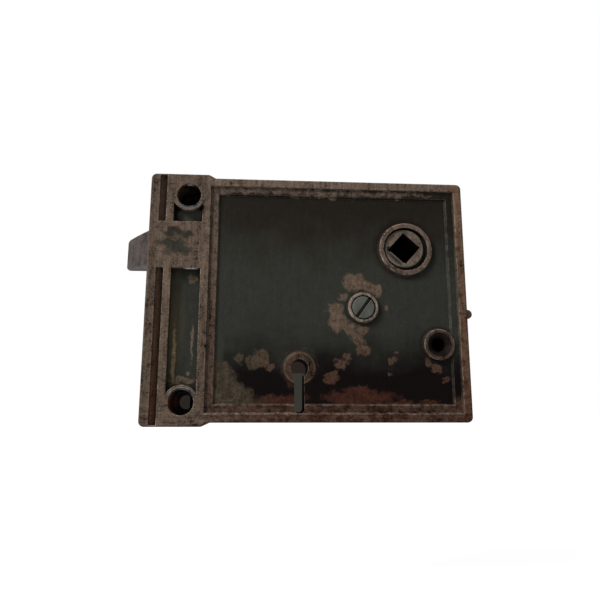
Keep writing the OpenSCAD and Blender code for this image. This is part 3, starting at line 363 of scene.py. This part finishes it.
# The coat is smoother than the iron and stands a little above it
rough = put(tree, "MapRange", {"Value": bare, 3: 0.42, 4: 0.66})[0]
rough = put(tree, "Math", {0: grain, 1: 0.16, 2: rough}, operation="MULTIPLY_ADD")[0]
tree.links.new(rough, shader["Roughness"])
shader["Specular IOR Level"].default_value = 0.03
relief = put(tree, "Math", {0: bare, 1: -0.35, 2: mottle}, operation="MULTIPLY_ADD")[0]
bump = put(tree, "Bump",
           {"Strength": 0.5, "Distance": 0.00022, "Height": relief, "Normal": round_edge})[0]
tree.links.new(bump, shader["Normal"])
dress(japan, "case")


# WARD, DEAD BOLT with its stud, and TUMBLER with stud and stump. Cast and filed iron on plain
# steel pins: the ward sits on two tenons inside the face round the keyhole, the bolt slides on
# its stud, and the tumbler drops its stump in the bolt's notches.

def metal(name, light, dark, rough, grain_mm, stretch, specular):
    """Bare metal with a filed or drawn grain, stains of about 3 mm, rubbed edges, and dirt and
    painted shade in the corners, which keep it from looking like paint."""
    material, tree, shader = start(name)
    mm = place_in_mm(tree)
    drawn = put(tree, "Mapping", {"Vector": mm, "Scale": stretch})[0]
    file_marks = put(tree, "TexNoise",
                     {"Vector": drawn, "Scale": 1 / grain_mm, "Detail": 4, "Roughness": 0.6})[0]
    stain_mm = 3.333
    stain = put(tree, "TexNoise",
                {"Vector": mm, "Scale": 1 / stain_mm, "Detail": 7, "Roughness": 0.65})[0]
    mixed = put(tree, "Math", {0: file_marks, 1: 0.5, 2: stain}, operation="MULTIPLY_ADD")[0]
    mixed = put(tree, "MapRange", {"Value": mixed, 1: 0.5, 2: 1.0})[0]
    colour = put(tree, "MixRGB", {"Fac": mixed, "Color1": dark, "Color2": light})[0]
    round_edge = put(tree, "Bevel", {"Radius": 0.0003}, samples=6)[0]
    flat = put(tree, "NewGeometry", {})["True Normal"]
    turned = put(tree, "VectorMath", {0: round_edge, 1: flat}, operation="DOT_PRODUCT")["Value"]
    rubbed = put(tree, "MapRange", {"Value": turned, 1: 0.99, 2: 0.85, 4: 0.5})[0]
    colour = put(tree, "MixRGB", {"Fac": rubbed, "Color1": colour, "Color2": "#8f857c"})[0]
    # Dirt and painted shade darken the corners and the holes
    open_air = put(tree, "AmbientOcclusion", {"Distance": 0.005}, samples=8)["AO"]
    dirt_and_painted_shade = put(tree, "MapRange", {"Value": open_air, 1: 0.25, 2: 0.8, 3: 1, 4: 0})[0]
    colour = put(tree, "MixRGB", {"Fac": dirt_and_painted_shade, "Color1": colour, "Color2": "#0c0807"})[0]
    tree.links.new(colour, shader["Base Color"])
    worn = put(tree, "MapRange", {"Value": mixed, 3: rough + 0.12, 4: rough - 0.08})[0]
    tree.links.new(worn, shader["Roughness"])
    shader["Specular IOR Level"].default_value = specular
    bump = put(tree, "Bump",
               {"Strength": 0.35, "Distance": 0.0001, "Height": mixed, "Normal": round_edge})[0]
    tree.links.new(bump, shader["Normal"])
    return material


# Oiled iron: dull grey with brown stains, the look of parts that have lain in old grease
inner_iron = metal("inner_iron", "#5d5852", "#3a322b", 0.5, 0.5, (0.25, 1, 1), 0.25)
dress(inner_iron, "ward", "dead_bolt", "tumbler")
# Plain steel: lighter and smoother than the castings round it
pin_steel = metal("pin_steel", "#86837c", "#5a554d", 0.36, 0.4, (1, 0.2, 1), 0.4)
dress(pin_steel, "bolt_stud", "tumbler_stud", "tumbler_stump")


# FLAT SPRING of the tumbler and COIL SPRING of the latch. Blued spring steel, bent cold;
# the flat one sits in a slit of the tumbler and the coil rides on the latch rod.

# Spring steel: the darkest and smoothest of the metals, with a blue-grey gleam
spring_steel = metal("spring_steel", "#5b5d62", "#3b3834", 0.34, 0.3, (1, 1, 1), 0.45)
dress(spring_steel, "tumbler_spring", "latch_spring")

# Each spring gets a mesh of its own. The coil shortens towards the latch head by all that the
# latch draws in, and the flat spring bows down towards its slit by about 3 mm while the tumbler
# lifts; the loop lists this but bends neither spring
for name, joint, axis, gives in (("latch_spring", "latch_slide", (1, 0, 0), 0.0098),
                                 ("tumbler_spring", "tumbler_lift", (0, 0, 1), 0.0030)):
    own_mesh(nodes[name])


# LATCH. A bevelled head pinned to a round rod, with a washer for its spring and a forked
# yoke riveted to the rod's flat end. The head is cast iron that the strike has rubbed smooth.

# Rubbed iron: grey with dark streaks along the way it slides, and little gloss
latch_iron = metal("latch_iron", "#4b433e", "#1a1513", 0.5, 0.4, (1, 0.3, 0.12), 0.12)
dress(latch_iron, "latch_bolt")
dress(inner_iron, "latch_rod", "latch_yoke")
dress(pin_steel, "latch_pin", "spring_washer", "yoke_rivets")


# HUB. A turned hub with a square hole for the spindle and two horns that pull the yoke. It
# turns in the case and the cap, and its end shows in the ring of the face.

# Turned iron: brown-grey, with a grey-green chamfer, black grease and painted shade in the
# hole and dirt beside the hole's worn side
hub_iron = metal("hub_iron", "#6c5e53", "#1e1510", 0.55, 0.7, (1, 1, 1), 0.04)
tree = hub_iron.node_tree
shader = tree.nodes["Principled BSDF"].inputs
hole_half, hole_turn = 4.1, radians(-48)
turned = {"Location": (hub_at[0], 0, hub_at[1]), "Rotation": (0, hole_turn, 0)}
square = put(tree, "Mapping", {"Vector": place_in_mm(tree), **turned}, vector_type="TEXTURE")[0]
side = put(tree, "SeparateXYZ", {0: square})[0]
square = put(tree, "VectorMath", {0: square}, operation="ABSOLUTE")[0]
wide, _, high = put(tree, "SeparateXYZ", {0: square})
off = put(tree, "Math", {0: wide, 1: high}, operation="MAXIMUM")[0]
grease_and_painted_shade = put(tree, "MapRange", {"Value": off, 1: hole_half + 0.06, 2: hole_half})[0]
to_back = put(tree, "SeparateXYZ", {0: put(tree, "NewGeometry", {})["True Normal"]})[1]
chamfer = put(tree, "MapRange", {"Value": to_back, 1: -0.95, 2: -0.8, 4: 0.8})[0]
colour = shader["Base Color"].links[0].from_socket
colour = put(tree, "MixRGB", {"Fac": chamfer, "Color1": colour, "Color2": "#6d7067"})[0]
soiled = put(tree, "MapRange",
             {"Value": side, 1: -hole_half - 2.2, 2: -hole_half - 1.6, 4: 0.8})[0]
past = put(tree, "MapRange", {"Value": side, 1: -hole_half - 0.4, 2: -hole_half - 0.7})[0]
soiled = put(tree, "Math", {0: soiled, 1: past}, operation="MULTIPLY")[0]
along = put(tree, "MapRange", {"Value": high, 1: hole_half - 0.1, 2: hole_half - 1.5})[0]
soiled = put(tree, "Math", {0: soiled, 1: along}, operation="MULTIPLY")[0]
colour = put(tree, "MixRGB", {"Fac": soiled, "Color1": colour, "Color2": "#211a14"})[0]
# Black grease and painted shade fill the square hole
colour = put(tree, "MixRGB", {"Fac": grease_and_painted_shade, "Color1": colour, "Color2": "#090605"})[0]
tree.links.new(colour, shader["Base Color"])
dress(hub_iron, "hub")


# CAP and its SCREW. A flat japanned plate that drops into the back of the case, held by one
# slotted screw from the front.

# Japanned plate: nearly black and dull, with brown stains
cap_iron = metal("cap_iron", "#34322c", "#221c18", 0.55, 0.6, (1, 1, 1), 0.2)
dress(cap_iron, "cap")
# Old screw steel: dull grey-green, with dirt in its slot
screw_steel = metal("screw_steel", "#50544d", "#31302c", 0.48, 0.35, (1, 1, 1), 0.12)
dress(screw_steel, "cap_screw")


# STAGE. A pale floor well below the lock, which hangs as on a door, and cards within the cap's
# thickness, which stand for what is behind the holes: a dark card that is painted shade, and
# cards that glow grey in the keyhole and a cup, which are painted light.

def matt(name, colour, rough):
    """A plain dull material: itself, its node tree and the inputs of its shader."""
    material, tree, shader = start(name)
    shader["Base Color"].default_value = linear(colour)
    shader["Roughness"].default_value = rough
    shader["Specular IOR Level"].default_value = 0.0
    return material, tree, shader


def seen_rays(tree):
    """1 for rays that show a thing or its reflection, and 0 for the light that it gives."""
    rays = put(tree, "LightPath", {})
    seen = put(tree, "Math", {0: rays["Is Camera Ray"], 1: rays["Is Glossy Ray"]},
               operation="ADD")[0]
    return put(tree, "Math", {0: seen, 1: rays["Is Transmission Ray"]},
               operation="ADD", use_clamp=True)[0]


bpy.ops.mesh.primitive_plane_add(size=6, location=(0, 0, -0.115))
floor = bpy.context.object
floor.name = "floor"
pale, tree, shader = matt("pale_floor", "#dcdcdc", 0.9)
shader["Emission Color"].default_value = (1, 1, 1, 1)
glow = put(tree, "Math", {0: seen_rays(tree), 1: 0.74}, operation="MULTIPLY")[0]
tree.links.new(glow, shader["Emission Strength"])
floor.data.materials.append(pale)

card_y = -0.0009
for name, colour, glow, place, size in (
        ("painted_shade_card", "#0a0908", 0.0, (0, card_y + 0.0001, 0), (0.109, 0.082)),
        ("painted_light_brown_card", "#2b231f", 1.0, (-0.003, card_y, -0.0215), (0.012, 0.0096)),
        ("painted_light_grey_card", "#383733", 1.0, (-0.003, card_y, -0.0339), (0.010, 0.0152)),
        ("painted_light_cup_card", "#292523", 1.0, (-0.0447, card_y, -0.0369), (0.0048, 0.008))):
    bpy.ops.mesh.primitive_plane_add(size=1, location=place, rotation=(radians(90), 0, 0))
    card = bpy.context.object
    card.name = name
    card.scale = (*size, 1)
    dark, tree, shader = matt(name, "#0a0908", 0.95)
    shader["Emission Color"].default_value = linear(colour)
    shader["Emission Strength"].default_value = glow
    card.data.materials.append(dark)


# LIGHT. One broad soft lamp from the upper left, which gives the shadows under the rings, and
# an even pale world that fills them. The world looks white and gives less light than it shows.
world = bpy.data.worlds.new("studio")
bpy.context.scene.world = world
world.use_nodes = True
tree = world.node_tree
background = tree.nodes["Background"].inputs
background["Color"].default_value = (1, 1, 1, 1)
brightness = put(tree, "MapRange", {"Value": seen_rays(tree), 3: 0.36, 4: 1.0})[0]
tree.links.new(brightness, background["Strength"])

lamp = bpy.data.lights.new("key", "AREA")
lamp.shape, lamp.size, lamp.energy = "DISK", 0.35, 11.5
key = bpy.data.objects.new("key", lamp)
bpy.context.collection.objects.link(key)
key.location = (-0.60, -0.50, 0.56)
key.rotation_mode = "QUATERNION"
key.rotation_quaternion = (-key.location).to_track_quat("-Z", "Y")


# CAMERA. Low in front of the lock and tipped up a little, as the photo's perspective shows.
# Its place, turns and lens were fitted to the outline, the rings and the square hole.
view = bpy.data.cameras.new("view")
view.lens, view.sensor_width = 31.72, 36
view.clip_start, view.clip_end = 0.01, 20
camera = bpy.data.objects.new("camera", view)
bpy.context.collection.objects.link(camera)
aim = Matrix.Identity(4)
for degrees, axis in ((10.43, "X"), (-0.759, "Y"), (-3.399, "Z"), (90, "X")):
    aim = aim @ Matrix.Rotation(radians(degrees), 4, axis)
camera.matrix_world = Matrix.Translation((-0.01419, -0.19927, -0.03518)) @ aim
bpy.context.scene.camera = camera

bpy.context.scene.view_settings.view_transform = "Standard"
